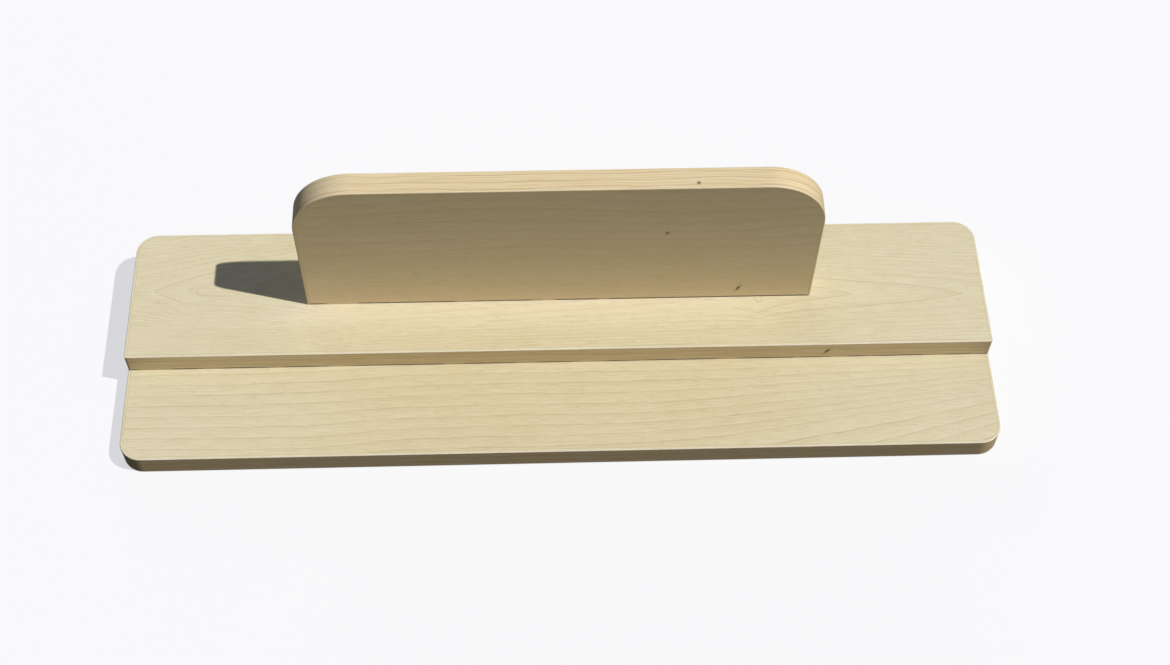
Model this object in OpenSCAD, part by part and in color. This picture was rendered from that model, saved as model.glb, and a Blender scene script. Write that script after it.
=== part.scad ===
// Stepped wooden stand: two coated boards stacked as a low step, with a round-cornered
// board standing on edge along the upper one. All sizes are in millimetres.
// The origin is on the underside, in the middle of the base. +X runs along the boards,
// +Y points to the back and +Z points up.

/* [Boards] */
// Length of the base and of the deck, along X
board_length = 640; // [520:1:900]
// Depth of the base, from the front edge to the back edge
base_depth = 185; // [168:1:260]
// Depth of the ledge that stays free in front of the deck
ledge_depth = 75.5; // [40:0.5:90]
// Thickness of the sheet that every board is cut from
sheet_thickness = 18; // [15:1:25]
// Radius of the base's corners and of the deck's rear corners, seen from above
corner_radius = 16; // [6:1:40]

/* [Upright] */
// Width of the upright
upright_width = 376; // [300:1:500]
// Height of the upright above the deck
upright_height = 136; // [90:1:220]
// Radius of the upright's two top corners
upright_corner_radius = 43; // [10:1:80]
// Distance from the deck's front edge to the upright's front face
upright_setback = 43.5; // [32:0.5:60]

/* [Edge bands] */
// Thickness of the band that is glued round the boards' cut edges
band_thickness = 2; // [1:0.5:3]
// Radius that both long edges of a band are eased to
arris_radius = 0.8; // [0.3:0.1:0.9]
// Plan radius at the two ends of the straight band on the deck's front edge
band_end_radius = 2; // [1:0.5:2]

/* [Screws] */
// Diameter of the thread of every screw
screw_diameter = 4; // [3:0.5:5]
// Diameter of the countersunk head
screw_head_diameter = 8; // [7:0.5:10]
// Least wood that is left above the tip of a screw that holds the base to the deck
base_screw_cover = 4; // [3:0.5:8]
// Length of the screws that hold the deck to the upright
upright_screw_length = 50; // [40:5:70]
// Distance from the boards' ends to the outer base screws
base_screw_inset = 40; // [25:1:80]
// Distance from the deck's long edges to the two rows of base screws
base_screw_edge = 25; // [15:1:30]
// Distance from the upright's ends to its outer screws
upright_screw_inset = 38; // [20:1:60]

/* [Dowels] */
// Diameter of the two wooden dowels between the deck and the upright
dowel_diameter = 8; // [6:1:10]
// Length of each dowel
dowel_length = 30; // [25:1:40]

/* [Hidden] */
BASE_SCREW_COLUMNS = 3;
BASE_SCREW_ROWS = 2;
UPRIGHT_SCREWS = 3;
DOWELS = UPRIGHT_SCREWS - 1;
$fn = 96;

// Fits
hole_clearance = 0.25;    // round a screw's plain shank, all round
thread_clearance = 0.05;  // round a thread that has cut its own way
seat_gap = 0.1;           // between a screw's head and its countersink
head_sink = 0.4;          // how far a head lies below the face that it is driven into
dowel_clearance = 0.05;   // round a dowel, all round
bottoming_gap = 1;        // beyond the end of a screw or dowel in its blind hole
foot_ease = 0.4;          // sanded off the upright's two lower edges
cut = 1;                  // how far a cutting shape runs past the face that it cuts

// Dowel form
DOWEL_DECK_SHARE = 2 / 3;     // of the deck's thickness that a dowel goes into
DOWEL_CHAMFER_SHARE = 1 / 8;  // of the dowel's diameter

// Levels and lines
deck_z = sheet_thickness;
deck_top = deck_z + sheet_thickness;
base_front = -base_depth / 2;
base_back = base_depth / 2;
deck_front = base_front + ledge_depth;
deck_depth = base_back - deck_front;
deck_middle = deck_front + deck_depth / 2;
upright_front = deck_front + upright_setback;
upright_middle = upright_front + sheet_thickness / 2;
core_radius = corner_radius - band_thickness;
dowel_in_deck = sheet_thickness * DOWEL_DECK_SHARE;

// Screw form, in proportion to the thread and the head
PITCH_SHARE = 0.45;       // of the thread's diameter
ROOT_SHARE = 0.68;        // of the thread's radius
THREADED_SHARE = 0.6;     // of the shank between the head and the point
RECESS_SHARE = 0.55;      // of the head's diameter, along each arm of the cross
RECESS_WIDTH_SHARE = 1 / 4; // of the thread's diameter, across each arm
RECESS_DEPTH_SHARE = 0.9; // of the head's cone
LENGTH_STEP = 5;          // screws are sold in steps of this length
head_radius = screw_head_diameter / 2;
head_rim = 0.5;                               // straight edge above the cone
thread_radius = screw_diameter / 2;
head_cone = head_radius - thread_radius;      // a 90 degree countersink
thread_pitch = screw_diameter * PITCH_SHARE;
thread_root = thread_radius * ROOT_SHARE;
point_length = screw_diameter;
recess_length = screw_head_diameter * RECESS_SHARE;
recess_width = screw_diameter * RECESS_WIDTH_SHARE;
recess_depth = head_cone * RECESS_DEPTH_SHARE;
base_screw_length = LENGTH_STEP
    * floor((deck_top - head_sink - base_screw_cover) / LENGTH_STEP);

// Where the fasteners stand
base_screw_points = [
    for (row = [0:BASE_SCREW_ROWS - 1], column = [0:BASE_SCREW_COLUMNS - 1])
        [(column - (BASE_SCREW_COLUMNS - 1) / 2)
            * (board_length - 2 * base_screw_inset) / (BASE_SCREW_COLUMNS - 1),
         deck_middle + (2 * row - 1) * (deck_depth / 2 - base_screw_edge)]];
upright_screw_pitch = (upright_width - 2 * upright_screw_inset) / (UPRIGHT_SCREWS - 1);
upright_screw_points = [
    for (i = [0:UPRIGHT_SCREWS - 1])
        [(i - (UPRIGHT_SCREWS - 1) / 2) * upright_screw_pitch, upright_middle]];
dowel_points = [    // halfway between neighbouring screws
    for (i = [0:DOWELS - 1])
        [(i - (DOWELS - 1) / 2) * upright_screw_pitch, upright_middle]];

BOARD = [0.87, 0.82, 0.68];
BAND = [0.89, 0.83, 0.67];
STEEL = [0.75, 0.75, 0.72];
BEECH = [0.80, 0.65, 0.45];

// ---- Edge band -----------------------------------------------------------------------

// Cross-section of a band: x from 0 at the glued face to the outer face, y along the edge.
module band_section() {
    r = arris_radius;
    square([band_thickness - r, sheet_thickness]);
    translate([0, r]) square([band_thickness, sheet_thickness - 2 * r]);
    for (y = [r, sheet_thickness - r])
        translate([band_thickness - r, y]) circle(r);
}

// A straight run of band along +Y from the origin, with its glued face at x = 0.
module band_run(length) {
    translate([0, length, 0]) rotate([90, 0, 0]) linear_extrude(length) band_section();
}

// A quarter turn of band, from +X to +Y, round a core of the given radius at the origin.
module band_corner(radius) {
    rotate_extrude(angle = 90) translate([radius, 0]) band_section();
}

// ---- Screws and their holes ----------------------------------------------------------

// A countersunk screw, head down at z = 0 and pointing up.
module screw(length) {
    shank = length - head_rim - head_cone - point_length;
    rings = floor(shank * THREADED_SHARE / thread_pitch);
    thread_start = length - point_length - rings * thread_pitch;
    difference() {
        rotate_extrude() polygon(concat(
            [[0, 0], [head_radius, 0], [head_radius, head_rim],
             [thread_radius, head_rim + head_cone], [thread_radius, thread_start - thread_pitch / 2]],
            [for (i = [0:rings - 1]) each [
                [thread_root, thread_start + i * thread_pitch],
                [thread_radius, thread_start + (i + 0.5) * thread_pitch]]],
            [[thread_root, length - point_length], [0, length]]));
        for (turn = [0, 90])
            rotate(turn) translate([-recess_length / 2, -recess_width / 2, -cut])
                cube([recess_length, recess_width, recess_depth + cut]);
    }
}

// The hole that a screw needs in the board under its head, from the face at z = 0.
module countersunk_hole() {
    rim = head_sink + head_rim;
    translate([0, 0, -cut]) cylinder(h = rim + cut, r = head_radius + seat_gap);
    translate([0, 0, rim])
        cylinder(h = head_cone, r1 = head_radius + seat_gap, r2 = thread_radius + seat_gap);
    cylinder(h = sheet_thickness + cut, r = thread_radius + hole_clearance);
}

// The blind hole that a screw's thread leaves in the next board, from the face at z = 0.
module thread_hole(length) {
    reach = length + head_sink - sheet_thickness;
    translate([0, 0, -cut])
        cylinder(h = reach + bottoming_gap + cut, r = thread_radius + thread_clearance);
}

module dowel_hole(depth) {
    translate([0, 0, -cut])
        cylinder(h = depth + bottoming_gap + cut, r = dowel_diameter / 2 + dowel_clearance);
}

// Puts a copy of the children at each point, at one height.
module at(points, z) {
    for (p = points) translate([p[0], p[1], z]) children();
}

// ---- Base ----------------------------------------------------------------------------

// A board's outline inside its band, rounded at the back, and at the front if asked.
module board_outline(depth, round_front) {
    half = board_length / 2 - band_thickness;
    low = band_thickness;
    high = depth - band_thickness;
    r = core_radius;
    difference() {
        translate([-half, low]) square([2 * half, high - low]);
        for (side = [-1, 1], y = round_front ? [low, high] : [high])
            translate([side * half, y]) square(2 * r, center = true);
    }
    for (side = [-1, 1], y = round_front ? [low + r, high - r] : [high - r])
        translate([side * (half - r), y]) circle(r);
}

module base_board() {
    color(BOARD) difference() {
        translate([0, base_front, 0]) linear_extrude(sheet_thickness)
            board_outline(base_depth, true);
        at(base_screw_points, 0) countersunk_hole();
    }
}

// One closed loop of band round the base.
module base_edge_band() {
    half = board_length / 2 - corner_radius;
    color(BAND) for (side = [0, 1]) mirror([side, 0, 0]) {
        translate([board_length / 2 - band_thickness, base_front + corner_radius, 0])
            band_run(base_depth - 2 * corner_radius);
        for (end = [0, 1]) mirror([0, end, 0]) {
            translate([half, base_back - corner_radius, 0]) band_corner(core_radius);
            translate([0, base_back - band_thickness, 0]) rotate(90) mirror([0, 1, 0])
                band_run(half);
        }
    }
}

// ---- Deck ----------------------------------------------------------------------------

module deck_board() {
    color(BOARD) difference() {
        translate([0, deck_front, deck_z]) linear_extrude(sheet_thickness)
            board_outline(deck_depth, false);
        at(base_screw_points, deck_z) thread_hole(base_screw_length);
        at(upright_screw_points, deck_z) countersunk_hole();
        at(dowel_points, deck_top) mirror([0, 0, 1]) dowel_hole(dowel_in_deck);
    }
}

// The straight band on the deck's front edge, which covers the ends of the other band.
module deck_front_edge_band() {
    r = band_end_radius;
    half = board_length / 2;
    color(BAND) intersection() {
        translate([-half, deck_front + band_thickness, deck_z]) rotate(-90)
            band_run(board_length);
        translate([0, deck_front, deck_z]) linear_extrude(sheet_thickness) {
            translate([-half, r]) square([board_length, band_thickness]);
            translate([r - half, 0]) square([board_length - 2 * r, band_thickness]);
            for (side = [-1, 1]) translate([side * (half - r), r]) circle(r);
        }
    }
}

// One length of band along the deck's end, round the rear corner, along the back and
// down the other end.
module deck_rear_edge_band() {
    half = board_length / 2 - corner_radius;
    end_front = deck_front + band_thickness;
    color(BAND) translate([0, 0, deck_z]) for (side = [0, 1]) mirror([side, 0, 0]) {
        translate([board_length / 2 - band_thickness, end_front, 0])
            band_run(base_back - corner_radius - end_front);
        translate([half, base_back - corner_radius, 0]) band_corner(core_radius);
        translate([0, base_back - band_thickness, 0]) rotate(90) mirror([0, 1, 0])
            band_run(half);
    }
}

// ---- Upright -------------------------------------------------------------------------

module upright_board() {
    half = upright_width / 2 - band_thickness;
    top = upright_height - band_thickness;
    r = upright_corner_radius - band_thickness;
    color(BOARD) difference() {
        translate([0, upright_front + sheet_thickness, deck_top]) rotate([90, 0, 0])
            linear_extrude(sheet_thickness) {
                translate([-half, 0]) square([2 * half, top - r]);
                translate([r - half, 0]) square([2 * (half - r), top]);
                for (side = [-1, 1]) translate([side * (half - r), top - r]) circle(r);
            }
        for (face = [0, sheet_thickness])
            translate([0, upright_front + face, deck_top]) rotate([45, 0, 0])
                cube([upright_width, foot_ease * sqrt(2), foot_ease * sqrt(2)], center = true);
        at(upright_screw_points, deck_top) thread_hole(upright_screw_length);
        at(dowel_points, deck_top) dowel_hole(dowel_length - dowel_in_deck);
    }
}

// One length of band up one end of the upright, over the top and down the other end.
module upright_edge_band() {
    half = upright_width / 2 - upright_corner_radius;
    rise = upright_height - upright_corner_radius;
    r = upright_corner_radius - band_thickness;
    color(BAND) translate([0, upright_front + sheet_thickness, deck_top]) rotate([90, 0, 0])
        for (side = [0, 1]) mirror([side, 0, 0]) {
            translate([upright_width / 2 - band_thickness, 0, 0]) band_run(rise);
            translate([half, rise, 0]) band_corner(r);
            translate([0, upright_height - band_thickness, 0]) rotate(90) mirror([0, 1, 0])
                band_run(half);
        }
}

// ---- Fasteners -----------------------------------------------------------------------

module base_screw(i) {
    color(STEEL) at([base_screw_points[i - 1]], head_sink) screw(base_screw_length);
}

module upright_screw(i) {
    color(STEEL) at([upright_screw_points[i - 1]], deck_z + head_sink)
        screw(upright_screw_length);
}

module dowel(i) {
    chamfer = dowel_diameter * DOWEL_CHAMFER_SHARE;
    r = dowel_diameter / 2;
    color(BEECH) at([dowel_points[i - 1]], deck_top - dowel_in_deck)
        rotate_extrude() polygon([
            [0, 0], [r - chamfer, 0], [r, chamfer], [r, dowel_length - chamfer],
            [r - chamfer, dowel_length], [0, dowel_length]]);
}

base_board();
base_edge_band();
deck_board();
deck_front_edge_band();
deck_rear_edge_band();
upright_board();
upright_edge_band();
for (i = [1:BASE_SCREW_COLUMNS * BASE_SCREW_ROWS])
    base_screw(i);
for (i = [1:UPRIGHT_SCREWS])
    upright_screw(i);
for (i = [1:DOWELS])
    dowel(i);
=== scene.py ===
"""Finishes of a stepped wooden stand: coated boards, edge bands, screws and dowels.

All patterns are laid out in millimetres on the boards themselves, with the origin on the
underside in the middle of the base, +X along the boards, +Y to the back and +Z up.
"""

import math

import bpy
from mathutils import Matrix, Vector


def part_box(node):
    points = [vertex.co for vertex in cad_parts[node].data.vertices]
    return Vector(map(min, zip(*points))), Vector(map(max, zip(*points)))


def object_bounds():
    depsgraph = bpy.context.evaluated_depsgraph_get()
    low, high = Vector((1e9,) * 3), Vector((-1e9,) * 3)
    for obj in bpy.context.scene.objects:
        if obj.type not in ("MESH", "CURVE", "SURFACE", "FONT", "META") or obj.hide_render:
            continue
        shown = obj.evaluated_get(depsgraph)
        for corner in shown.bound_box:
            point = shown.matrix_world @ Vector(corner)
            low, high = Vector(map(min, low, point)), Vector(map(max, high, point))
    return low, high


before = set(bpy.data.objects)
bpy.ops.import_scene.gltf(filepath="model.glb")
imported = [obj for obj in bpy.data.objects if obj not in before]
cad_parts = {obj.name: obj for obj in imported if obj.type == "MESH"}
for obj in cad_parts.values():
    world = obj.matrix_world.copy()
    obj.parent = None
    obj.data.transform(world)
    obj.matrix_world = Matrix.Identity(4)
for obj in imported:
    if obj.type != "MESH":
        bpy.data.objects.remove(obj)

bl_info = {
    "name": "Stepped Wooden Stand",
    "version": (1, 0, 0),
    "blender": (4, 5, 0),
    "location": "3D View > Sidebar > Stand",
    "description": "Wood decor, edge bands, fasteners and studio stage of a stepped stand",
    "category": "Material",
}

CAD_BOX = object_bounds()
MILLIMETRES = 1000.0

# Corner radii of the boards with their bands, in millimetres.
CORNER_RADIUS = 16.0
UPRIGHT_CORNER_RADIUS = 43.0
SQUARE_CORNER = 0.1

# Each piece draws its random patterns from its own seed.
BASE_SEED = 1.0
STEP_BAND_SEED = 2.0
DECK_SEED = 5.0
UPRIGHT_BAND_SEED = 6.0
UPRIGHT_SEED = 9.0

# Knots of the boards, in millimetres and radians: place along and across, then what the
# name says. A pull bends the rings towards the knot over its length and its height.
DECK_KNOT_PULLS = (
    (-279.0, 20.0, 8.0, 16.0, 12.0),
    (-177.0, 19.0, 4.0, 12.0, 8.0),
    (147.5, 13.0, 7.0, 14.0, 11.0),
)
UPRIGHT_KNOT_LENGTHS_AND_SLANTS = (
    (76.7, 119.8, 1.1, 0.9),
    (132.6, 47.9, 2.6, 1.15),
)
STEP_BAND_KNOT_LENGTHS_AND_SLANTS = ((197.6, 26.6, 2.8, 1.0),)
UPRIGHT_BAND_KNOT_LENGTHS_AND_SLANTS = ((95.9, 31.2, 1.0, 0.2),)

# How strongly each effect shows over the ground colour, from 0 to 1.
PALE_SHARE = 0.3
# Painted light: strength of the pool of light painted on the deck before the upright.
PAINTED_POOL_STRENGTH = 0.23
PORE_SHARE = 0.25
RING_SHARE = 0.08
SEAM_SHARE = 0.6
# Painted shade: how dark the open joints are painted.
JOINT_SHADE_STRENGTH = 0.95
BAND_LINE_SHARE = 0.75
FAINT_LINE_SHARE = 0.6
# Painted highlight: how strongly light is painted on the bands' upper rounded edges.
STEP_BAND_HIGHLIGHT = 0.75
UPRIGHT_BAND_HIGHLIGHT = 0.4

# The joints under the boards: height of the painted shade in an open joint in millimetres,
# and how much of each joint stays shut.
JOINT_SHADE_HEIGHT = 2.0
UPRIGHT_JOINT_SHUT = 0.38
DECK_JOINT_SHUT = 0.41

# Depth of the relief on the small pieces in metres, and its strength.
GRIT_DEPTH = 0.00002
RAY_DEPTH = 0.00005
GRAIN_RELIEF = 0.6
GRIT_RELIEF = 0.4

FLOOR_SIZE = 12.0
FLOOR_DROP = 0.0002
FLOOR_GLOW_COLOUR = (0.97, 0.97, 1.0)
SENSOR_WIDTH = 36.0


def nodes_named(start):
    """The CAD nodes whose names begin with a word, in order."""
    return [name for name in sorted(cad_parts) if name.startswith(start)]


# ---- Drawing node trees ---------------------------------------------------------------


class Sketch:
    """A node tree being drawn. Each call adds a node and returns its output socket."""

    def __init__(self, tree):
        self.tree = tree

    def add(self, kind, **settings):
        """A new node with its settings."""
        node = self.tree.nodes.new(kind)
        for name, value in settings.items():
            setattr(node, name, value)
        return node

    def set(self, socket, value):
        """Joins an output to a socket, or sets the socket's own value."""
        if isinstance(value, bpy.types.NodeSocket):
            self.tree.links.new(value, socket)
        elif isinstance(value, (tuple, list)) and socket.type == "RGBA":
            socket.default_value = (*value[:3], 1.0)
        else:
            socket.default_value = value

    def math(self, operation, *values, clamp=False):
        node = self.add("ShaderNodeMath", operation=operation, use_clamp=clamp)
        for socket, value in zip(node.inputs, values):
            self.set(socket, value)
        return node.outputs[0]

    def plus(self, a, b):
        return self.math("ADD", a, b)

    def minus(self, a, b):
        return self.math("SUBTRACT", a, b)

    def times(self, a, b):
        return self.math("MULTIPLY", a, b)

    def over(self, a, b):
        return self.math("DIVIDE", a, b)

    def ramp(self, value, start, end, low=0.0, high=1.0):
        """Smooth change from low at start to high at end."""
        node = self.add("ShaderNodeMapRange", interpolation_type="SMOOTHSTEP")
        for socket, given in zip(node.inputs, (value, start, end, low, high)):
            self.set(socket, given)
        return node.outputs[0]

    def blend(self, share, a, b):
        """Value a where the share is 0, b where it is 1."""
        node = self.add("ShaderNodeMix", data_type="FLOAT")
        for socket, value in zip(node.inputs[0:1] + node.inputs[2:4], (share, a, b)):
            self.set(socket, value)
        return node.outputs[0]

    def tint(self, share, a, b):
        """Colour a where the share is 0, b where it is 1."""
        node = self.add("ShaderNodeMix", data_type="RGBA")
        for socket, value in zip(node.inputs[0:1] + node.inputs[6:8], (share, a, b)):
            self.set(socket, value)
        return node.outputs[2]

    def point(self, x, y, z):
        node = self.add("ShaderNodeCombineXYZ")
        for socket, value in zip(node.inputs, (x, y, z)):
            self.set(socket, value)
        return node.outputs[0]

    def noise(self, point, scale=1.0, detail=2.0, roughness=0.5):
        node = self.add("ShaderNodeTexNoise")
        self.set(node.inputs["Vector"], point)
        self.set(node.inputs["Scale"], scale)
        self.set(node.inputs["Detail"], detail)
        self.set(node.inputs["Roughness"], roughness)
        return node.outputs["Fac"]

    def place(self, tree, **values):
        """Places a node group and gives its outputs; underscores stand for spaces."""
        node = self.add("ShaderNodeGroup", node_tree=tree)
        for name, value in values.items():
            self.set(node.inputs[name.replace("_", " ")], value)
        return node.outputs

    def group(self, tree, **values):
        """Places a node group and gives its first output."""
        return self.place(tree, **values)[0]


def draw_group(name, inputs, outputs, draw):
    """A shader node group with named sockets, built once.

    An input whose default has four values is a colour, and so is an output named Colour.
    """
    tree = bpy.data.node_groups.get(name)
    if tree:
        return tree
    tree = bpy.data.node_groups.new(name, "ShaderNodeTree")
    for label, default in inputs.items():
        kind = "NodeSocketColor" if isinstance(default, tuple) else "NodeSocketFloat"
        socket = tree.interface.new_socket(label, in_out="INPUT", socket_type=kind)
        socket.default_value = default
    for label in outputs:
        kind = "NodeSocketColor" if label == "Colour" else "NodeSocketFloat"
        tree.interface.new_socket(label, in_out="OUTPUT", socket_type=kind)
    sketch = Sketch(tree)
    given = sketch.add("NodeGroupInput")
    made = sketch.add("NodeGroupOutput")
    results = draw(sketch, given.outputs)
    for socket, value in zip(made.inputs, results):
        sketch.set(socket, value)
    return tree


# ---- Shared effects -------------------------------------------------------------------


def wander_group():
    """Across the grain, moved by slow waves and by a fine tremble, as growth rings are."""

    def draw(s, given):
        slow = s.noise(
            s.point(
                s.over(given["Along"], given["Wave Length"]),
                s.over(given["Across"], given["Wave Width"]),
                given["Seed"],
            ),
            detail=1.0,
        )
        fine = s.noise(
            s.point(
                s.over(given["Along"], 11.0),
                s.over(given["Across"], 5.0),
                s.plus(given["Seed"], 7.3),
            ),
            detail=2.0,
        )
        waves = s.times(s.minus(slow, 0.5), s.times(given["Reach"], 4.0))
        tremble = s.times(s.minus(fine, 0.5), given["Tremble"])
        return [s.plus(given["Across"], s.plus(waves, tremble))]

    return draw_group(
        "Grain Wander",
        {
            "Along": 0.0,
            "Across": 0.0,
            "Seed": 0.0,
            "Reach": 2.0,
            "Tremble": 1.5,
            "Wave Length": 150.0,
            "Wave Width": 50.0,
        },
        ["Across"],
        draw,
    )


def knot_pull_group():
    """Across the grain, drawn into a sharp dip beside a knot."""

    def draw(s, given):
        along = s.math("ABSOLUTE", s.minus(given["Along"], given["Knot Along"]))
        across = s.over(s.minus(given["Across"], given["Knot Across"]), given["Height"])
        fall = s.plus(s.over(along, given["Length"]), s.times(across, across))
        pull = s.times(given["Pull"], s.math("EXPONENT", s.times(fall, -1.0)))
        return [s.plus(given["Across"], pull)]

    return draw_group(
        "Knot Pull",
        {
            "Along": 0.0,
            "Across": 0.0,
            "Knot Along": 0.0,
            "Knot Across": 0.0,
            "Pull": 6.0,
            "Length": 18.0,
            "Height": 12.0,
        },
        ["Across"],
        draw,
    )


def arch_group():
    """Distance to the nearest of a row of nested arches, the figure of a flat-sawn board."""

    def draw(s, given):
        along = s.minus(given["Along"], given["Tip"])
        axis = s.plus(given["Axis"], s.times(along, given["Axis Slope"]))
        side = s.minus(given["Across"], axis)
        above = s.math("GREATER_THAN", side, 0.0)
        spread = s.blend(above, given["Spread Below"], given["Spread Above"])
        width = s.math("ABSOLUTE", side)
        bow = s.plus(s.over(s.times(side, side), spread), s.times(width, given["Point"]))
        field = s.plus(s.times(along, given["Facing"]), bow)
        slope = s.plus(s.over(s.times(width, 2.0), spread), given["Point"])
        steepness = s.math("SQRT", s.plus(s.times(slope, slope), 1.0))
        half = s.times(given["Spacing"], 0.5)
        nearest = s.over(s.math("PINGPONG", field, half), steepness)
        first = s.over(s.math("ABSOLUTE", field), steepness)
        second = s.over(s.math("ABSOLUTE", s.plus(field, given["Spacing"])), steepness)
        share = s.math("FRACT", s.over(field, given["Spacing"]))
        return [nearest, first, second, s.ramp(share, 0.5, 1.0)]

    return draw_group(
        "Nested Arches",
        {
            "Along": 0.0,
            "Across": 0.0,
            "Tip": 300.0,
            "Facing": 1.0,
            "Axis": 30.0,
            "Axis Slope": 0.0,
            "Spread Above": 2.0,
            "Spread Below": 2.0,
            "Point": 2.0,
            "Spacing": 80.0,
        },
        ["Distance", "First Arch", "Second Arch", "Shade"],
        draw,
    )


def line_group():
    """A thin dark line that fades in and out along its run."""

    def draw(s, given):
        body = s.ramp(given["Distance"], given["Width"], 0.0)
        patches = s.noise(
            s.point(
                s.over(given["Along"], 55.0),
                s.over(given["Across"], 9.0),
                given["Seed"],
            ),
            detail=2.0,
        )
        fade = s.ramp(patches, 0.34, 0.62)
        kept = s.plus(s.minus(1.0, given["Fade"]), s.times(fade, given["Fade"]))
        return [s.times(body, kept)]

    return draw_group(
        "Grain Line",
        {
            "Distance": 1.0,
            "Width": 0.8,
            "Along": 0.0,
            "Across": 0.0,
            "Seed": 0.0,
            "Fade": 0.6,
        },
        ["Line"],
        draw,
    )


def fibre_group():
    """Fine fibres along the grain, with short darker pores among them."""

    def draw(s, given):
        def strands(length_share, width_share, offset, detail):
            return s.noise(
                s.point(
                    s.over(given["Along"], s.times(given["Length"], length_share)),
                    s.over(given["Across"], s.times(given["Width"], width_share)),
                    s.plus(given["Seed"], offset),
                ),
                detail=detail,
                roughness=0.6,
            )

        fine = strands(1.0, 1.0, 0.0, 3.0)
        broad = strands(3.0, 4.0, 3.1, 2.0)
        pores = strands(0.4, 0.7, 9.7, 1.0)
        fibre = s.plus(s.times(fine, 0.82), s.times(broad, 0.18))
        return [s.ramp(fibre, 0.37, 0.63), s.ramp(pores, 0.6, 0.74)]

    return draw_group(
        "Wood Fibre",
        {"Along": 0.0, "Across": 0.0, "Seed": 0.0, "Length": 24.0, "Width": 1.3},
        ["Fibre", "Pores"],
        draw,
    )


def joint_shade_group():
    """Painted shade in a thin gap just above a level, open in some places and shut in others.
    """

    def draw(s, given):
        height = s.minus(given["Height"], given["Level"])
        above = s.math("GREATER_THAN", height, -0.05)
        gap = s.times(above, s.ramp(height, given["Gap"], s.times(given["Gap"], 0.4)))
        places = s.noise(s.point(s.over(given["Along"], 45.0), given["Seed"], 0.0), detail=3.0)
        opened = s.ramp(places, given["Shut"], s.plus(given["Shut"], 0.12))
        return [s.times(gap, opened)]

    return draw_group(
        "Contact Gap",
        {
            "Along": 0.0,
            "Height": 0.0,
            "Level": 0.0,
            "Gap": 0.6,
            "Shut": 0.4,
            "Seed": 0.0,
        },
        ["Gap"],
        draw,
    )


def pin_knot_group():
    """A small dark knot with a paler rim, drawn out across the grain at a slant."""

    def draw(s, given):
        along = s.minus(given["Along"], given["Knot Along"])
        across = s.minus(given["Across"], given["Knot Across"])
        cosine = s.math("COSINE", given["Slant"])
        sine = s.math("SINE", given["Slant"])
        long_way = s.plus(s.times(along, cosine), s.times(across, sine))
        short_way = s.minus(s.times(across, cosine), s.times(along, sine))
        u = s.over(long_way, given["Length"])
        v = s.over(short_way, given["Width"])
        radius = s.math("SQRT", s.plus(s.times(u, u), s.times(v, v)))
        heart = s.ramp(radius, 1.1, 0.7)
        rim = s.times(s.ramp(radius, 3.0, 1.2), s.minus(1.0, heart))
        outline = s.times(s.math("ABSOLUTE", s.minus(radius, 1.0)), given["Width"])
        return [heart, rim, outline]

    return draw_group(
        "Pin Knot",
        {
            "Along": 0.0,
            "Across": 0.0,
            "Knot Along": 0.0,
            "Knot Across": 0.0,
            "Length": 1.9,
            "Width": 0.85,
            "Slant": 0.8,
        },
        ["Heart", "Rim", "Outline"],
        draw,
    )


def knot_stain_group():
    """A pin knot over a ground colour, where the share shown is 1."""

    def draw(s, given):
        rim = s.times(s.times(given["Rim"], given["Rim Strength"]), given["Shown"])
        stained = s.tint(rim, given["Ground"], given["Rim Colour"])
        return [s.tint(s.times(given["Heart"], given["Shown"]), stained, given["Heart Colour"])]

    return draw_group(
        "Knot Stain",
        {
            "Heart": 0.0,
            "Rim": 0.0,
            "Rim Strength": 0.45,
            "Shown": 1.0,
            "Ground": (0.7, 0.6, 0.4, 1.0),
            "Rim Colour": (0.4, 0.27, 0.12, 1.0),
            "Heart Colour": (0.025, 0.015, 0.008, 1.0),
        },
        ["Colour"],
        draw,
    )


def chip_group():
    """Pressed wood chips of an uncoated cut."""

    def draw(s, given):
        chips = s.add("ShaderNodeTexVoronoi", feature="F1")
        s.set(chips.inputs["Vector"], s.point(given["X"], given["Y"], given["Z"]))
        s.set(chips.inputs["Scale"], given["Scale"])
        split = s.add("ShaderNodeSeparateColor")
        s.set(split.inputs[0], chips.outputs["Color"])
        return [s.tint(split.outputs[0], given["Dark Chip"], given["Pale Chip"])]

    return draw_group(
        "Pressed Chips",
        {
            "X": 0.0,
            "Y": 0.0,
            "Z": 0.0,
            "Scale": 0.9,
            "Dark Chip": (0.46, 0.32, 0.17, 1.0),
            "Pale Chip": (0.7, 0.64, 0.43, 1.0),
        },
        ["Colour"],
        draw,
    )


def outline_group():
    """Distance inwards from the outline of a rectangle with rounded corners."""

    def draw(s, given):
        along = s.math("ABSOLUTE", given["Along"])
        offset = s.minus(given["Across"], given["Middle"])
        far_side = s.math("GREATER_THAN", offset, 0.0)
        radius = s.blend(far_side, given["Near Radius"], given["Far Radius"])
        x = s.minus(along, s.minus(given["Half Length"], radius))
        y = s.minus(s.math("ABSOLUTE", offset), s.minus(given["Half Depth"], radius))
        x_out = s.math("MAXIMUM", x, 0.0)
        y_out = s.math("MAXIMUM", y, 0.0)
        corner = s.math("SQRT", s.plus(s.times(x_out, x_out), s.times(y_out, y_out)))
        inner = s.math("MINIMUM", s.math("MAXIMUM", x, y), 0.0)
        return [s.minus(radius, s.plus(corner, inner))]

    return draw_group(
        "Rounded Outline",
        {
            "Along": 0.0,
            "Across": 0.0,
            "Middle": 0.0,
            "Half Length": 320.0,
            "Half Depth": 92.5,
            "Near Radius": 16.0,
            "Far Radius": 16.0,
        },
        ["Inset"],
        draw,
    )


# ---- Sizes and colours ----------------------------------------------------------------


def colour_property(name, description, default):
    return bpy.props.FloatVectorProperty(
        name=name,
        description=description,
        default=default,
        min=0.0,
        max=1.0,
        size=3,
        subtype="COLOR",
    )


def length_property(name, description, default):
    """A length in metres."""
    return bpy.props.FloatProperty(
        name=name, description=description, default=default, min=0.0, unit="LENGTH"
    )


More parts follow.
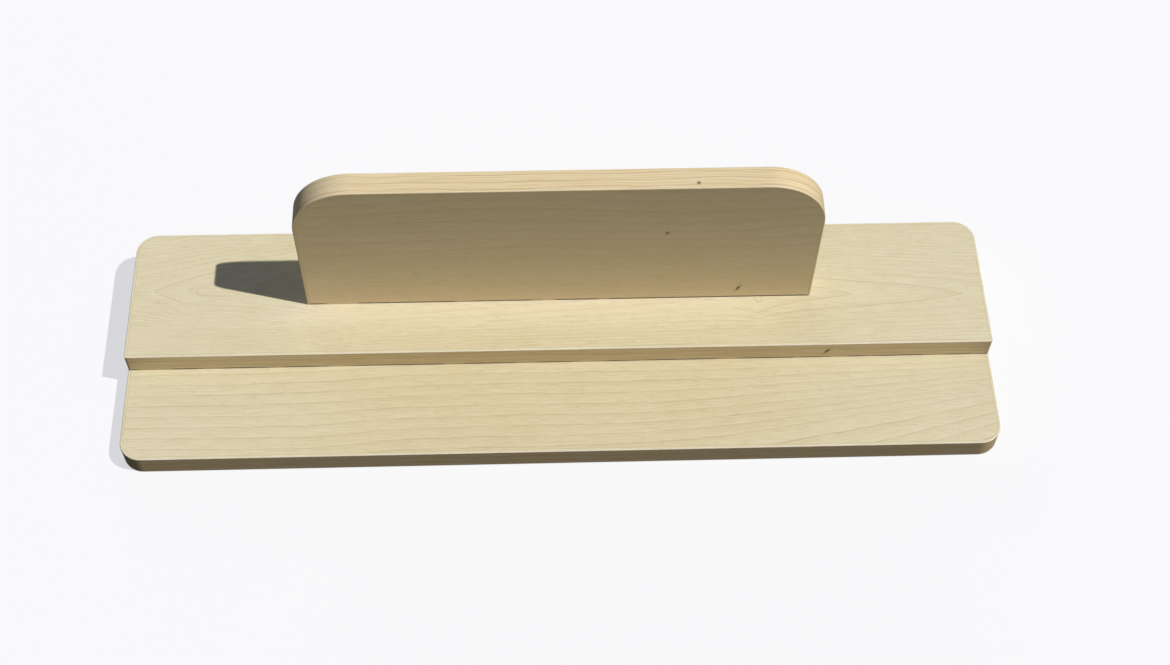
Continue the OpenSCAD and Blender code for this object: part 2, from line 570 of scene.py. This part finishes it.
class StandColours(bpy.types.PropertyGroup):
    """Colours of the decor, the edge bands and the fasteners."""

    board: colour_property(
        "Board", "Ground colour of the decor at the boards' ends", (0.707, 0.644, 0.431)
    )
    board_middle: colour_property(
        "Board middle", "Ground colour of the decor half-way along", (0.679, 0.598, 0.369)
    )
    # Partly the decor's own colour, partly painted light: warmer than the boards' ground colour
    # to stand in for warm bounce light on the upright's shaded front.
    upright: colour_property(
        "Upright", "Ground colour of the upright's decor", (0.765, 0.635, 0.365)
    )
    # Painted light: warmer ground colour towards the upright's foot, standing in for warm
    # bounce light from the deck.
    upright_painted_bounce: colour_property(
        "Upright foot", "Ground colour of the upright just above the deck", (0.83, 0.65, 0.385)
    )
    figure: colour_property(
        "Figure", "Dark lines of the wood decor", (0.40, 0.27, 0.12)
    )
    # Also laid on as the painted pool of light on the deck before the upright.
    pale: colour_property(
        "Pale streaks", "Cream that lightens the decor's streaks", (0.93, 0.87, 0.72)
    )
    knot: colour_property("Pin knots", "Heart of the small knots", (0.025, 0.015, 0.008))
    # Partly the band's own colour, partly painted light: tinted warmer to stand in for warm
    # bounce light on the bands' shaded faces.
    band: colour_property(
        "Step band", "Outer face of the base's and the deck's bands", (0.69, 0.53, 0.28)
    )
    upright_band: colour_property(
        "Upright band", "Outer face of the band round the upright", (0.76, 0.61, 0.36)
    )
    # Painted shade inside the open joints.
    gap: colour_property("Gap", "Dark of the open joints", (0.05, 0.035, 0.02))
    band_core: colour_property(
        "Band core", "Narrow faces of the edge bands", (0.75, 0.695, 0.50)
    )
    # Painted highlight along the bands' upper rounded edges.
    painted_edge_highlight: colour_property(
        "Rubbed edges", "Edges of the bands that handling has rubbed", (0.93, 0.86, 0.74)
    )
    seam: colour_property("Seam", "Glue line between a board and its band", (0.30, 0.22, 0.12))
    core: colour_property("Chipboard", "Pressed chips inside the boards", (0.46, 0.32, 0.17))
    steel: colour_property("Screw steel", "Bright zinc coat of the screws", (0.66, 0.65, 0.61))
    steel_dull: colour_property(
        "Dull zinc", "Zinc that has gone dull in patches", (0.44, 0.44, 0.43)
    )
    dowel: colour_property("Dowel", "Beech of the dowels", (0.62, 0.42, 0.24))
    dowel_fleck: colour_property(
        "Dowel flecks", "Short dark rays in the beech", (0.40, 0.23, 0.11)
    )
    floor: colour_property("Floor", "Studio floor as it is seen", (0.30, 0.305, 0.315))
    backdrop: colour_property("Backdrop", "Studio wall as it is seen", (0.95, 0.95, 0.965))
    floor_bounce: colour_property(
        "Floor bounce", "Studio floor as it lights the stand from below", (0.05, 0.045, 0.04)
    )


class StandSizes(bpy.types.PropertyGroup):
    """Scale of the decor's figure and of the seams."""

    fibre_length: length_property("Fibre length", "Length of the fine fibres", 0.018)
    fibre_width: length_property("Fibre width", "Width of the fine fibres", 0.001)
    line_width: length_property("Line width", "Half width of a growth ring line", 0.0005)
    ledge_spacing: length_property(
        "Ledge ring spacing", "Spacing of the base board's growth rings", 0.009
    )
    upright_spacing: length_property(
        "Upright ring spacing", "Spacing of the upright's growth rings", 0.0115
    )
    seam_width: length_property("Seam width", "Width of the glue line at a band", 0.00035)
    band_thickness: length_property("Band thickness", "Thickness of the edge bands", 0.002)
    relief: length_property("Relief", "Depth of the decor's embossed grain", 0.00004)


class StandStage(bpy.types.PropertyGroup):
    """Floor, lights and camera."""

    camera_place: bpy.props.FloatVectorProperty(
        name="Camera place",
        description="Where the camera stands",
        default=(-0.01757, -0.72613, 1.17418),
        size=3,
        subtype="TRANSLATION",
        unit="LENGTH",
    )
    camera_turn: bpy.props.FloatVectorProperty(
        name="Camera turn",
        description="Tilt, roll and turn of the camera",
        default=(math.radians(32.4655), math.radians(-0.6974), math.radians(-1.7244)),
        size=3,
        subtype="EULER",
        unit="ROTATION",
    )
    camera_lens: bpy.props.FloatProperty(
        name="Lens", description="Focal length in millimetres", default=56.096, min=10.0
    )
    key_strength: bpy.props.FloatProperty(
        name="Key light", description="Strength of the main light", default=3.28, min=0.0
    )
    key_softness: bpy.props.FloatProperty(
        name="Key softness",
        description="Width of the main light as seen from the stand",
        default=math.radians(0.8),
        unit="ROTATION",
    )
    sky_strength: bpy.props.FloatProperty(
        name="Sky light",
        description="Strength of the wide light overhead",
        default=0.25,
        min=0.0,
    )
    floor_glow: bpy.props.FloatProperty(
        name="Floor glow",
        description="Light that the floor seems to give off",
        default=0.66,
        min=0.0,
    )
    back_strength: bpy.props.FloatProperty(
        name="Back light",
        description="Strength of the low light behind",
        default=0.7,
        min=0.0,
    )
    fill_strength: bpy.props.FloatProperty(
        name="Fill light",
        description="Strength of the light all round",
        default=0.05,
        min=0.0,
    )


class StandSettings(bpy.types.PropertyGroup):
    """Everything that the stand's panel shows."""

    colours: bpy.props.PointerProperty(type=StandColours)
    sizes: bpy.props.PointerProperty(type=StandSizes)
    stage: bpy.props.PointerProperty(type=StandStage)


# ---- Finishes -------------------------------------------------------------------------


def millimetres(s):
    """The piece's own coordinates in millimetres, as three values and a point."""
    place = s.add("ShaderNodeTexCoord")
    scaled = s.add("ShaderNodeVectorMath", operation="SCALE")
    s.set(scaled.inputs["Vector"], place.outputs["Object"])
    s.set(scaled.inputs["Scale"], MILLIMETRES)
    split = s.add("ShaderNodeSeparateXYZ")
    s.set(split.inputs[0], scaled.outputs[0])
    return split.outputs["X"], split.outputs["Y"], split.outputs["Z"], scaled.outputs[0]


def normal_part(s, axis):
    """The part of a face's direction along an axis, from -1 to 1."""
    split = s.add("ShaderNodeSeparateXYZ")
    s.set(split.inputs[0], s.add("ShaderNodeTexCoord").outputs["Normal"])
    return split.outputs[axis]


def side_share(s, axis):
    """How squarely a face looks along an axis, from 0 to 1."""
    return s.math("ABSOLUTE", normal_part(s, axis))


def facing(s, axis):
    """1 on faces that look along the axis, 0 on those that run along it."""
    return s.ramp(side_share(s, axis), 0.55, 0.8)


def new_finish(name):
    """A material with an empty Principled shader, and the sketch to fill it."""
    material = bpy.data.materials.new(name)
    material.use_nodes = True
    s = Sketch(material.node_tree)
    shader = material.node_tree.nodes["Principled BSDF"]
    return material, s, shader


def give(finish, nodes):
    """Puts a finish on CAD nodes."""
    for name in nodes:
        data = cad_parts[name].data
        data.materials.clear()
        data.materials.append(finish)


def bump(s, shader, height, depth, strength):
    """Feeds a height between 0 and 1 to the shader's normal; depth is in metres."""
    node = s.add("ShaderNodeBump")
    s.set(node.inputs["Strength"], strength)
    s.set(node.inputs["Distance"], depth)
    s.set(node.inputs["Height"], height)
    s.set(shader.inputs["Normal"], node.outputs["Normal"])


def knot_colour(s, heart, rim, ground, colours):
    """A pin knot over a ground colour, on every side of a piece but its back."""
    return s.group(
        knot_stain_group(),
        Heart=heart,
        Rim=rim,
        Shown=s.math("LESS_THAN", normal_part(s, "Y"), 0.5),
        Ground=ground,
        Rim_Colour=tuple(colours.figure),
        Heart_Colour=tuple(colours.knot),
    )


def open_joint_shade(s, along, height, board, shut, seed):
    """Painted shade where the joint under a board stands open, as a share from 0 to 1."""
    return s.group(
        joint_shade_group(),
        Along=along,
        Height=height,
        Level=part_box(board)[0].z * MILLIMETRES,
        Gap=JOINT_SHADE_HEIGHT,
        Shut=shut,
        Seed=seed,
    )


def finish_board(name, across_name, seed, figure, grounds, outline, settings):
    """A coated board: wood decor on its flat faces, chipboard inside its holes.

    figure gives the grain lines as (line, strength) pairs, the shade of the growth rings,
    the pin knots, the share of the second ground colour, and how far the board has kept
    figure gives the grain lines as (line, strength) pairs, the shade of the growth rings,
    the pin knots, the share of the second ground colour (on the upright, painted warm bounce
    light towards its foot), and the share of a painted pool of light on the deck.
    """
    colours = settings.colours
    sizes = settings.sizes
    material, s, shader = new_finish(name)
    along, y, z, _ = millimetres(s)
    across = {"Y": y, "Z": z}[across_name]
    flat = facing(s, {"Y": "Z", "Z": "Y"}[across_name])

    fibre, pores = s.place(
        fibre_group(),
        Along=along,
        Across=across,
        Seed=seed,
        Length=sizes.fibre_length * MILLIMETRES,
        Width=sizes.fibre_width * MILLIMETRES,
    )
    cloud = s.noise(
        s.point(s.over(along, 140.0), s.over(across, 26.0), seed + 20.0), detail=2.0
    )
    tone = s.plus(s.times(fibre, 0.8), s.times(s.ramp(cloud, 0.35, 0.65), 0.2))
    lines, shade, knots, warm_tone_and_painted_bounce, painted_pool_share = figure(s, along, across, seed, settings)
    # On the upright the second ground colour is painted warm bounce light towards its foot.
    coat = s.tint(warm_tone_and_painted_bounce, tuple(grounds[0]), tuple(grounds[1]))
    # Painted light: the pale colour is also laid on where the figure paints a pool of light.
    pale_streaks_and_painted_pool = s.plus(s.times(tone, PALE_SHARE), s.times(painted_pool_share, PAINTED_POOL_STRENGTH))
    coat = s.tint(pale_streaks_and_painted_pool, coat, tuple(colours.pale))
    dark = s.plus(s.times(pores, PORE_SHARE), s.times(shade, RING_SHARE))
    for line, strength in lines:
        dark = s.math("MAXIMUM", dark, s.times(line, strength))
    coat = s.tint(dark, coat, tuple(colours.figure))
    for heart, rim, _ in knots:
        coat = knot_colour(s, heart, rim, coat, colours)

    inset = s.group(outline_group(), Along=along, Across=across, **outline)
    band = sizes.band_thickness * MILLIMETRES
    seam = s.ramp(inset, band + sizes.seam_width * MILLIMETRES, band)
    # Painted shade in the open joint at the upright's foot.
    gap = open_joint_shade(s, along, z, "upright_board", UPRIGHT_JOINT_SHUT, seed)
    upright_joint_shade = s.times(gap, side_share(s, "Y"))
    coat = s.tint(s.times(seam, SEAM_SHARE), coat, tuple(colours.seam))
    coat = s.tint(s.times(upright_joint_shade, JOINT_SHADE_STRENGTH), coat, tuple(colours.gap))

    chips = s.group(
        chip_group(),
        X=along,
        Y=y,
        Z=z,
        Dark_Chip=tuple(colours.core),
        Pale_Chip=tuple(colours.board),
    )
    colour = s.tint(flat, chips, coat)
    s.set(shader.inputs["Base Color"], colour)
    gloss = s.plus(s.blend(fibre, 0.44, 0.56), s.times(dark, 0.15))
    s.set(shader.inputs["Roughness"], s.blend(flat, 0.9, gloss))
    height = s.minus(s.times(fibre, 0.6), s.times(s.math("MAXIMUM", dark, seam), 0.8))
    bump(s, shader, height, sizes.relief, GRAIN_RELIEF)
    return material


def grain_line(s, distance, along, across, seed, width, fade):
    """A thin dark line where the distance is near 0; fade is how much of it may vanish."""
    return s.group(
        line_group(),
        Distance=distance,
        Width=width,
        Along=along,
        Across=across,
        Seed=seed,
        Fade=fade,
    )


def middle_share(s, along):
    """1 half-way along the stand, 0 near its ends."""
    return s.ramp(s.math("ABSOLUTE", along), 290.0, 90.0)


def painted_light_pool(s, along, across):
    """Painted light: 1 on the deck at the foot of the upright's front, where a pool of light is
    painted into the colour, 0 far off.
    """
    low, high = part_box("upright_board")
    front = low.y * MILLIMETRES
    back = high.y * MILLIMETRES
    half_length = (high.x - low.x) / 2 * MILLIMETRES
    reach = 34.0
    full_reach = 8.0
    middle = -32.0
    near = s.ramp(across, front - reach, front - full_reach)
    before = s.ramp(across, back, front)
    distance = s.math("ABSOLUTE", s.minus(along, middle))
    beside = s.ramp(distance, half_length + 25.0, half_length - 35.0)
    return s.times(s.times(near, before), beside)


def base_figure(s, along, across, seed, settings):
    """Long rings that run almost level and sweep up towards the right-hand end."""
    width = settings.sizes.line_width * MILLIMETRES
    spacing = settings.sizes.ledge_spacing * MILLIMETRES
    sweep_start = 90.0
    sweep_softness = 60.0
    sweep_slope = 0.0525
    front_rise = 0.44
    fanning = 0.0227
    front_level = 92.0
    front_widening = 0.55
    reach = s.minus(along, sweep_start)
    bend = s.math("SQRT", s.plus(s.times(reach, reach), sweep_softness**2))
    sweep = s.times(s.plus(bend, reach), sweep_slope)
    risen = s.plus(across, s.times(sweep, front_rise))
    level = s.over(risen, s.minus(1.0, s.times(sweep, fanning)))
    below = s.math("MINIMUM", s.plus(level, front_level), 0.0)
    level = s.minus(level, s.times(below, front_widening))
    level = s.minus(level, s.ramp(along, -190.0, -110.0, 0.0, 4.0))
    level = s.group(
        wander_group(), Along=along, Across=level, Seed=seed, Reach=1.5, Tremble=1.5
    )
    first_ring = 93.6
    fine_shift = 2.6
    level = s.plus(level, first_ring)
    ring = s.math("PINGPONG", level, spacing / 2)
    fine_ring = s.math("PINGPONG", s.plus(level, fine_shift), spacing / 6)
    shade = s.ramp(s.math("FRACT", s.over(level, spacing)), 0.35, 1.0)
    strong = grain_line(s, ring, along, across, seed, width, 0.6)
    faint = grain_line(s, fine_ring, along, across, seed + 4.0, width, 1.0)
    return [(strong, 0.5), (faint, 0.14)], shade, [], middle_share(s, along), 0.0


def deck_figure(s, along, across, seed, settings):
    """Arches that point to both ends, pinched at three small knots, with a painted pool of
    light on the deck before the upright.
    """
    width = settings.sizes.line_width * MILLIMETRES
    level = across
    for knot_along, knot_across, pull, length, height in DECK_KNOT_PULLS:
        level = s.group(
            knot_pull_group(),
            Along=along,
            Across=level,
            Knot_Along=knot_along,
            Knot_Across=knot_across,
            Pull=pull,
            Length=length,
            Height=height,
        )
    level = s.group(
        wander_group(),
        Along=along,
        Across=level,
        Seed=seed,
        Reach=0.6,
        Tremble=1.3,
        Wave_Length=70.0,
        Wave_Width=25.0,
    )
    left_rings, left_arch, _, left_shade = s.place(
        arch_group(),
        Along=along,
        Across=level,
        Tip=-302.5,
        Facing=-1.0,
        Axis=40.4,
        Axis_Slope=0.03,
        Spread_Above=13.0,
        Spread_Below=7.0,
        Point=1.5,
        Spacing=24.0,
    )
    loop = s.place(
        arch_group(),
        Along=along,
        Across=across,
        Tip=-271.5,
        Facing=-1.0,
        Axis=39.5,
        Axis_Slope=0.15,
        Spread_Above=3.2,
        Spread_Below=2.4,
        Point=0.0,
        Spacing=200.0,
    )[1]
    right_rings, right_arch, inner_arch, right_shade = s.place(
        arch_group(),
        Along=along,
        Across=level,
        Tip=302.8,
        Facing=1.0,
        Axis=26.2,
        Axis_Slope=-0.02,
        Spread_Above=3.0,
        Spread_Below=3.0,
        Point=3.0,
        Spacing=84.0,
    )
    turn = s.ramp(along, -190.0, -90.0)
    rings = s.blend(turn, left_rings, right_rings)
    loop_end = s.ramp(along, -235.0, -250.0)
    left_end = s.ramp(along, -225.0, -255.0)
    right_start = s.ramp(along, 120.0, 160.0)
    faint = grain_line(s, rings, along, across, seed, width, 1.0)
    lower_end = s.ramp(across, 26.0, 33.0)
    left = s.times(grain_line(s, left_arch, along, across, seed, width, 0.2), left_end)
    left = s.times(left, lower_end)
    curl = s.times(grain_line(s, loop, along, across, seed, width, 0.2), loop_end)
    right = s.times(
        grain_line(
            s, s.math("MINIMUM", right_arch, inner_arch), along, across, seed, width, 0.3
        ),
        right_start,
    )
    pocket = s.place(
        pin_knot_group(),
        Along=along,
        Across=across,
        Knot_Along=149.0,
        Knot_Across=27.0,
        Length=5.1,
        Width=3.0,
        Slant=math.pi / 2,
    )[2]
    drop = grain_line(s, pocket, along, across, seed, width, 0.2)
    lines = [(left, 0.5), (curl, 0.5), (right, 0.5), (drop, 0.5), (faint, 0.24)]
    shade = s.blend(turn, left_shade, right_shade)
    return lines, shade, [], middle_share(s, along), painted_light_pool(s, along, across)


def upright_figure(s, along, across, seed, settings):
    """Slow waves in the upper half, close straight rings below, two pin knots, and painted warm
    bounce light towards the foot.
    """
    width = settings.sizes.line_width * MILLIMETRES
    spacing = settings.sizes.upright_spacing * MILLIMETRES
    level = s.group(
        wander_group(),
        Along=along,
        Across=across,
        Seed=seed,
        Reach=7.0,
        Tremble=1.4,
        Wave_Length=210.0,
        Wave_Width=70.0,
    )
    upper = s.ramp(across, 70.0, 110.0)
    ring = s.math("PINGPONG", level, spacing / 2)
    close = s.math("PINGPONG", level, spacing / 8)
    strong = s.times(grain_line(s, ring, along, across, seed, width, 0.4), upper)
    faint = grain_line(s, close, along, across, seed + 4.0, width, 1.0)
    shade = s.times(s.ramp(s.math("FRACT", s.over(level, spacing)), 0.35, 1.0), upper)
    knots = [
        s.place(
            pin_knot_group(),
            Along=along,
            Across=across,
            Knot_Along=knot_along,
            Knot_Across=knot_across,
            Length=length,
            Width=0.8,
            Slant=slant,
        )
        for knot_along, knot_across, length, slant in UPRIGHT_KNOT_LENGTHS_AND_SLANTS
    ]
    # Painted light: warmer towards the foot, standing in for warm bounce light from the deck.
    warm_tone_and_painted_bounce = s.ramp(across, 85.0, 36.0)
    return [(strong, 0.42), (faint, 0.22)], shade, knots, warm_tone_and_painted_bounce, 0.0


def finish_band(name, across_name, seed, knots, ground, narrow_faces, highlight_strength, settings):
    """An edge band: decor lines along its outer face, plain core on its narrow faces.

    knots gives each small knot's place along and across, its length and its slant.
    narrow_faces are the two colours of the core's fibres, and the strength given before the
    settings is how strongly a painted highlight lightens the upper rounded edges, from 0 to 1.
    """
    colours = settings.colours
    sizes = settings.sizes
    material, s, shader = new_finish(name)
    x, y, z, point = millimetres(s)
    across = {"Y": y, "Z": z}[across_name]
    drift_along = 1 / 75
    drift_across = 1 / 26
    drift_reach = 7.0
    fibre_along = 1 / 30
    fibre_across = 1.0
    ring_half_spacing = 2.9
    close_half_spacing = 1.1
    line_fineness = 3.0

    def stretched(along_share, across_share):
        node = s.add("ShaderNodeMapping")
        s.set(node.inputs["Vector"], point)
        node.inputs["Scale"].default_value = {
            "Z": (along_share, along_share, across_share),
            "Y": (along_share, across_share, along_share),
        }[across_name]
        return node.outputs[0]

    waves = s.noise(stretched(drift_along, drift_across), detail=2.5)
    level = s.plus(across, s.times(s.minus(waves, 0.5), drift_reach))
    strands = s.noise(stretched(fibre_along, fibre_across), detail=3.0, roughness=0.65)
    fibre = s.ramp(strands, 0.36, 0.64)
    ring = s.math("PINGPONG", level, ring_half_spacing)
    close = s.math("PINGPONG", s.plus(level, close_half_spacing), close_half_spacing)
    breaks = s.times(level, line_fineness)
    strong = grain_line(s, ring, x, breaks, seed, 0.45, 0.5)
    faint = grain_line(s, close, x, breaks, seed + 3.0, 0.4, 1.0)
    line = s.math("MAXIMUM", strong, s.times(faint, FAINT_LINE_SHARE))
    colour = s.tint(s.times(fibre, PALE_SHARE), tuple(ground), tuple(colours.pale))
    colour = s.tint(s.times(line, BAND_LINE_SHARE), colour, tuple(colours.figure))
    for knot_along, knot_across, length, slant in knots:
        heart, rim, _ = s.place(
            pin_knot_group(),
            Along=x,
            Across=across,
            Knot_Along=knot_along,
            Knot_Across=knot_across,
            Length=length,
            Slant=slant,
        )
        colour = knot_colour(s, heart, rim, colour, colours)
    turned = side_share(s, across_name)
    narrow = s.ramp(turned, 0.2, 0.5)
    # Painted highlight: the upward-facing rounded edges, away from the ends, are lightened as
    # if they caught the light.
    upward = s.ramp(normal_part(s, "Z"), 0.0, 0.3)
    edge = s.times(s.ramp(turned, 0.08, 0.4), s.ramp(turned, 0.995, 0.9))
    sideways = s.minus(1.0, s.times(side_share(s, "X"), 0.9))
    painted_edge_highlight = s.times(s.times(edge, upward), sideways)
    plain = s.tint(fibre, tuple(narrow_faces[0]), tuple(narrow_faces[1]))
    colour = s.tint(narrow, colour, plain)
    colour = s.tint(s.times(painted_edge_highlight, highlight_strength), colour, tuple(colours.painted_edge_highlight))
    # Painted shade in the open joint under the deck.
    gap = open_joint_shade(s, x, z, "deck_board", DECK_JOINT_SHUT, seed)
    deck_joint_shade = s.times(gap, s.ramp(side_share(s, "Z"), 0.98, 0.8))
    colour = s.tint(s.times(deck_joint_shade, JOINT_SHADE_STRENGTH), colour, tuple(colours.gap))
    s.set(shader.inputs["Base Color"], colour)
    gloss = s.minus(s.blend(fibre, 0.42, 0.56), s.times(painted_edge_highlight, 0.12))
    s.set(shader.inputs["Roughness"], gloss)
    height = s.minus(s.times(fibre, 0.6), s.times(line, 0.7))
    bump(s, shader, height, sizes.relief, GRAIN_RELIEF)
    return material


def finish_steel(settings):
    """Zinc-plated steel, dull in patches."""
    colours = settings.colours
    material, s, shader = new_finish("Zinc plated steel")
    point = millimetres(s)[3]
    patches = s.noise(point, scale=0.45, detail=3.0)
    grit = s.noise(point, scale=4.0, detail=2.0)
    colour = s.tint(
        s.ramp(patches, 0.35, 0.65), tuple(colours.steel), tuple(colours.steel_dull)
    )
    s.set(shader.inputs["Base Color"], colour)
    s.set(shader.inputs["Roughness"], s.blend(patches, 0.22, 0.5))
    shader.inputs["Metallic"].default_value = 1.0
    bump(s, shader, grit, GRIT_DEPTH, GRIT_RELIEF)
    return material


def finish_beech(settings):
    """Beech, with its short dark rays along the dowel."""
    colours = settings.colours
    material, s, shader = new_finish("Beech")
    x, y, z, _ = millimetres(s)
    fibre = s.noise(
        s.point(s.over(x, 0.6), s.over(y, 0.6), s.over(z, 14.0)), detail=3.0
    )
    rays = s.noise(
        s.point(s.over(x, 0.35), s.over(y, 0.35), s.over(z, 2.2)), detail=1.0
    )
    colour = s.tint(
        s.math("MAXIMUM", s.times(s.ramp(rays, 0.62, 0.74), 0.8), s.times(fibre, 0.4)),
        tuple(colours.dowel),
        tuple(colours.dowel_fleck),
    )
    s.set(shader.inputs["Base Color"], colour)
    s.set(shader.inputs["Roughness"], s.blend(fibre, 0.55, 0.75))
    bump(s, shader, fibre, RAY_DEPTH, GRAIN_RELIEF)
    return material


def outline_of(node, across_name, near_radius, far_radius, settings):
    """Outline of a board with the band round it, from the board's own box."""
    margin = settings.sizes.band_thickness * MILLIMETRES
    across_axis = "XYZ".index(across_name)
    low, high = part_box(node)
    middle = (low[across_axis] + high[across_axis]) / 2
    return {
        "Middle": middle * MILLIMETRES,
        "Half_Length": (high.x - low.x) / 2 * MILLIMETRES + margin,
        "Half_Depth": (high[across_axis] - low[across_axis]) / 2 * MILLIMETRES + margin,
        "Near_Radius": near_radius,
        "Far_Radius": far_radius,
    }


# ---- Operators ------------------------------------------------------------------------


class STAND_OT_base(bpy.types.Operator):
    """Finish the base board, whose front is the ledge"""

    bl_idname = "stand.finish_base"
    bl_label = "Base board"

    def execute(self, context):
        settings = context.scene.stand
        grounds = (settings.colours.board, settings.colours.board_middle)
        outline = outline_of("base_board", "Y", CORNER_RADIUS, CORNER_RADIUS, settings)
        finish = finish_board(
            "Base decor", "Y", BASE_SEED, base_figure, grounds, outline, settings
        )
        give(finish, ["base_board"])
        return {"FINISHED"}


class STAND_OT_deck(bpy.types.Operator):
    """Finish the deck board, which makes the step"""

    bl_idname = "stand.finish_deck"
    bl_label = "Deck board"

    def execute(self, context):
        settings = context.scene.stand
        grounds = (settings.colours.board, settings.colours.board_middle)
        outline = outline_of("deck_board", "Y", SQUARE_CORNER, CORNER_RADIUS, settings)
        finish = finish_board(
            "Deck decor", "Y", DECK_SEED, deck_figure, grounds, outline, settings
        )
        give(finish, ["deck_board"])
        return {"FINISHED"}


class STAND_OT_upright(bpy.types.Operator):
    """Finish the upright board"""

    bl_idname = "stand.finish_upright"
    bl_label = "Upright board"

    def execute(self, context):
        settings = context.scene.stand
        # The second ground colour is painted warm bounce light towards the upright's foot.
        grounds = (settings.colours.upright, settings.colours.upright_painted_bounce)
        outline = outline_of(
            "upright_board", "Z", SQUARE_CORNER, UPRIGHT_CORNER_RADIUS, settings
        )
        finish = finish_board(
            "Upright decor", "Z", UPRIGHT_SEED, upright_figure, grounds, outline, settings
        )
        give(finish, ["upright_board"])
        return {"FINISHED"}


class STAND_OT_bands(bpy.types.Operator):
    """Finish the edge bands of all three boards"""

    bl_idname = "stand.finish_bands"
    bl_label = "Edge bands"

    def execute(self, context):
        settings = context.scene.stand
        colours = settings.colours
        step = finish_band(
            "Step band",
            "Z",
            STEP_BAND_SEED,
            STEP_BAND_KNOT_LENGTHS_AND_SLANTS,
            colours.band,
            (colours.board, colours.band_core),
            STEP_BAND_HIGHLIGHT,
            settings,
        )
        give(step, ["base_edge_band", "deck_front_edge_band", "deck_rear_edge_band"])
        upright = finish_band(
            "Upright band",
            "Y",
            UPRIGHT_BAND_SEED,
            UPRIGHT_BAND_KNOT_LENGTHS_AND_SLANTS,
            colours.upright_band,
            (colours.upright, colours.upright_painted_bounce),
            UPRIGHT_BAND_HIGHLIGHT,
            settings,
        )
        give(upright, ["upright_edge_band"])
        return {"FINISHED"}


class STAND_OT_fasteners(bpy.types.Operator):
    """Finish the screws and the dowels"""

    bl_idname = "stand.finish_fasteners"
    bl_label = "Screws and dowels"

    def execute(self, context):
        settings = context.scene.stand
        give(finish_steel(settings), nodes_named("base_screw") + nodes_named("upright_screw"))
        give(finish_beech(settings), nodes_named("dowel"))
        return {"FINISHED"}


class STAND_OT_stage(bpy.types.Operator):
    """Lay the floor, set the lights and stand the camera"""

    bl_idname = "stand.set_stage"
    bl_label = "Stage"

    def execute(self, context):
        scene = context.scene
        colours = scene.stand.colours
        stage = scene.stand.stage

        floor_level = CAD_BOX[0].z - FLOOR_DROP
        bpy.ops.mesh.primitive_plane_add(size=FLOOR_SIZE, location=(0.0, 0.0, floor_level))
        floor = context.object
        floor.name = "studio_floor"
        material, s, shader = new_finish("Studio floor")
        mottle = s.noise(millimetres(s)[3], scale=0.004, detail=3.0)
        pale = tuple(colours.floor)
        mottled = s.tint(s.times(mottle, 0.06), pale, tuple(part * 0.9 for part in pale))
        direct = s.add("ShaderNodeLightPath").outputs["Is Camera Ray"]
        base = s.tint(direct, tuple(colours.floor_bounce), mottled)
        glow = s.tint(direct, (0.0, 0.0, 0.0), FLOOR_GLOW_COLOUR)
        s.set(shader.inputs["Base Color"], base)
        s.set(shader.inputs["Roughness"], s.blend(mottle, 0.75, 0.9))
        s.set(shader.inputs["Emission Color"], glow)
        shader.inputs["Emission Strength"].default_value = stage.floor_glow
        floor.data.materials.append(material)

        world = bpy.data.worlds.new("Studio")
        world.use_nodes = True
        background = world.node_tree.nodes["Background"]
        w = Sketch(world.node_tree)
        fill = (stage.fill_strength,) * 3
        looked_at = w.add("ShaderNodeLightPath").outputs["Is Camera Ray"]
        w.set(background.inputs["Color"], w.tint(looked_at, fill, tuple(colours.backdrop)))
        scene.world = world

        for name, strength, width, colour, place in (
            (
                "Key light",
                stage.key_strength,
                stage.key_softness,
                (1.0, 0.965, 0.90),
                (0.551, -0.137, 0.823),
            ),
            (
                "Sky light",
                stage.sky_strength,
                math.radians(120.0),
                (0.585, 0.755, 1.09),
                (0.0, 0.1, 1.0),
            ),
            (
                "Back light",
                stage.back_strength,
                math.radians(40.0),
                (0.97, 0.97, 1.0),
                (-0.25, 0.96, 0.12),
            ),
        ):
            data = bpy.data.lights.new(name, "SUN")
            data.energy = strength
            data.angle = width
            data.color = colour
            light = bpy.data.objects.new(name, data)
            light.location = place
            light.rotation_euler = light.location.to_track_quat("Z", "Y").to_euler()
            scene.collection.objects.link(light)

        camera_data = bpy.data.cameras.new("Camera")
        camera_data.lens = stage.camera_lens
        camera_data.sensor_fit = "HORIZONTAL"
        camera_data.sensor_width = SENSOR_WIDTH
        camera = bpy.data.objects.new("Camera", camera_data)
        camera.location = stage.camera_place
        camera.rotation_euler = stage.camera_turn
        scene.collection.objects.link(camera)
        scene.camera = camera
        scene.view_settings.view_transform = "Standard"
        return {"FINISHED"}


class STAND_PT_panel(bpy.types.Panel):
    """Sizes, colours and steps of the stand"""

    bl_idname = "STAND_PT_panel"
    bl_label = "Stepped stand"
    bl_space_type = "VIEW_3D"
    bl_region_type = "UI"
    bl_category = "Stand"

    def draw(self, context):
        layout = self.layout
        settings = context.scene.stand
        for title, group in (
            ("Colours", settings.colours),
            ("Sizes", settings.sizes),
            ("Stage", settings.stage),
        ):
            box = layout.box()
            box.label(text=title)
            for name in group.__annotations__:
                box.prop(group, name)
        for operator in OPERATORS:
            layout.operator(operator.bl_idname)


PROPERTY_GROUPS = (StandColours, StandSizes, StandStage, StandSettings)
OPERATORS = (
    STAND_OT_base,
    STAND_OT_deck,
    STAND_OT_upright,
    STAND_OT_bands,
    STAND_OT_fasteners,
    STAND_OT_stage,
)


def register():
    for made in PROPERTY_GROUPS + OPERATORS + (STAND_PT_panel,):
        bpy.utils.register_class(made)
    bpy.types.Scene.stand = bpy.props.PointerProperty(type=StandSettings)


def unregister():
    del bpy.types.Scene.stand
    for made in reversed(PROPERTY_GROUPS + OPERATORS + (STAND_PT_panel,)):
        bpy.utils.unregister_class(made)


def main():
    register()
    bpy.ops.stand.finish_base()
    bpy.ops.stand.finish_deck()
    bpy.ops.stand.finish_upright()
    bpy.ops.stand.finish_bands()
    bpy.ops.stand.finish_fasteners()
    bpy.ops.stand.set_stage()


if __name__ == "__main__":
    main()
